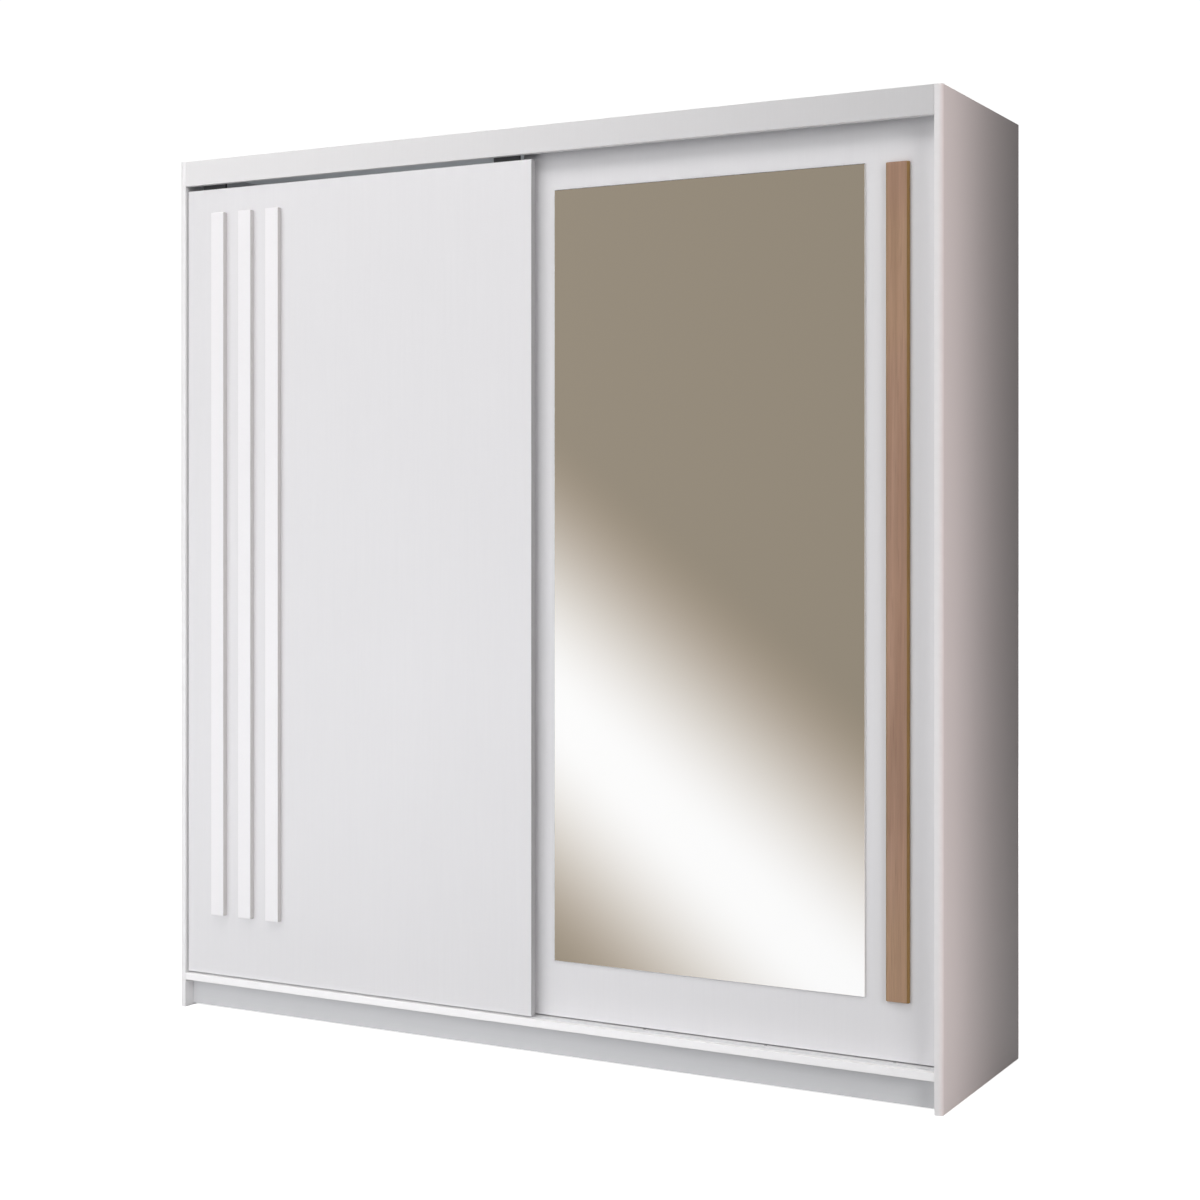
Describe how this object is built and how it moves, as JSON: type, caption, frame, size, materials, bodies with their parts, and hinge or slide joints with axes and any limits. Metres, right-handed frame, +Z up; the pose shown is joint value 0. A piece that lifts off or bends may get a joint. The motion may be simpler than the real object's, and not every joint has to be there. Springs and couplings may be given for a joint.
{
  "type": "sliding door wardrobe",
  "caption": "Tall white board wardrobe with overlapping sliding doors, a bronze mirror door, raised battens, shelves and a hanging rail.",
  "frame": {"origin": "on the floor, under the middle of the wardrobe", "axes": "+Z up, +X to the right when seen from the front, +Y towards the back"},
  "size_m": [2.03, 0.537, 2.15],
  "materials": {
    "white_board": "satin white melamine-faced board",
    "door_board": "satin white foil-faced board with a faint fine texture",
    "batten_white": "smooth bright white lacquered batten",
    "plinth_board": "satin light grey-white board",
    "wood_strip": "brown wood grain foil, satin",
    "mirror": "bronze-tinted float mirror with polished edges",
    "hardboard": "thin hardboard, white on the inside, plain behind",
    "track_aluminium": "satin anodised profile",
    "track_plastic": "white extruded plastic",
    "chrome": "polished chrome plate",
    "steel": "turned zinc-plated steel",
    "white_plastic": "moulded white nylon",
    "grey_plastic": "moulded dark grey plastic",
    "rubber": "soft grey bumper rubber"
  },
  "bodies": {
    "carcass": {"side_panel_left": "white_board", "side_panel_right": "white_board", "floor_panel": "white_board", "top_panel": "white_board", "top_fascia": "white_board", "centre_partition": "white_board", "plinth_brace": "white_board", "plinth_front": "plinth_board", "plinth_rear": "plinth_board", "back_panel_left": "hardboard", "back_panel_right": "hardboard", "back_joining_strip": "white_plastic", "shelf_left_1": "white_board", "shelf_left_2": "white_board", "shelf_left_3": "white_board", "shelf_left_4": "white_board", "shoe_shelf": "white_board", "hat_shelf": "white_board", "hanging_rail": "chrome", "rail_flange_left": "chrome", "rail_flange_right": "chrome", "rail_centre_bracket": "chrome", "bottom_track": "track_plastic", "top_track": "track_aluminium", "track_stop_outer": "white_plastic", "track_stop_inner": "white_plastic", "buffer_left_low": "rubber", "buffer_left_high": "rubber", "buffer_right_low": "rubber", "buffer_right_high": "rubber"},
    "left_door": {"door_panel_left": "door_board", "batten_1": "batten_white", "batten_2": "batten_white", "batten_3": "batten_white", "roller_housing_left_a": "grey_plastic", "roller_axle_left_a": "steel", "top_guide_left_a": "grey_plastic", "roller_housing_left_b": "grey_plastic", "roller_axle_left_b": "steel", "top_guide_left_b": "grey_plastic"},
    "right_door": {"door_panel_right": "door_board", "mirror": "mirror", "wood_strip": "wood_strip", "roller_housing_right_a": "grey_plastic", "roller_axle_right_a": "steel", "top_guide_right_a": "grey_plastic", "roller_housing_right_b": "grey_plastic", "roller_axle_right_b": "steel", "top_guide_right_b": "grey_plastic"},
    "left_roller_a": {"roller_wheel_left_a": "white_plastic"},
    "left_roller_b": {"roller_wheel_left_b": "white_plastic"},
    "right_roller_a": {"roller_wheel_right_a": "white_plastic"},
    "right_roller_b": {"roller_wheel_right_b": "white_plastic"}
  },
  "joints": [
    {"name": "left_door_slide", "type": "slide", "parent": "carcass", "child": "left_door", "axis": [1, 0, 0], "range_m": [0, 0.971]},
    {"name": "right_door_slide", "type": "slide", "parent": "carcass", "child": "right_door", "axis": [1, 0, 0], "range_m": [-0.971, 0]},
    {"name": "left_roller_a_spin", "type": "hinge", "parent": "left_door", "child": "left_roller_a", "pos_m": [-0.9195, -0.242, 0.09538], "axis": [0, 1, 0], "continuous": true},
    {"name": "left_roller_b_spin", "type": "hinge", "parent": "left_door", "child": "left_roller_b", "pos_m": [-0.0555, -0.242, 0.09538], "axis": [0, 1, 0], "continuous": true},
    {"name": "right_roller_a_spin", "type": "hinge", "parent": "right_door", "child": "right_roller_a", "pos_m": [0.0555, -0.21, 0.09538], "axis": [0, 1, 0], "continuous": true},
    {"name": "right_roller_b_spin", "type": "hinge", "parent": "right_door", "child": "right_roller_b", "pos_m": [0.9195, -0.21, 0.09538], "axis": [0, 1, 0], "continuous": true}
  ],
  "couplings": [
    {"joint": "left_roller_a_spin", "follows": "left_door_slide", "rad_per_m": 71.429},
    {"joint": "left_roller_b_spin", "follows": "left_door_slide", "rad_per_m": 71.429},
    {"joint": "right_roller_a_spin", "follows": "right_door_slide", "rad_per_m": 71.429},
    {"joint": "right_roller_b_spin", "follows": "right_door_slide", "rad_per_m": 71.429}
  ]
}
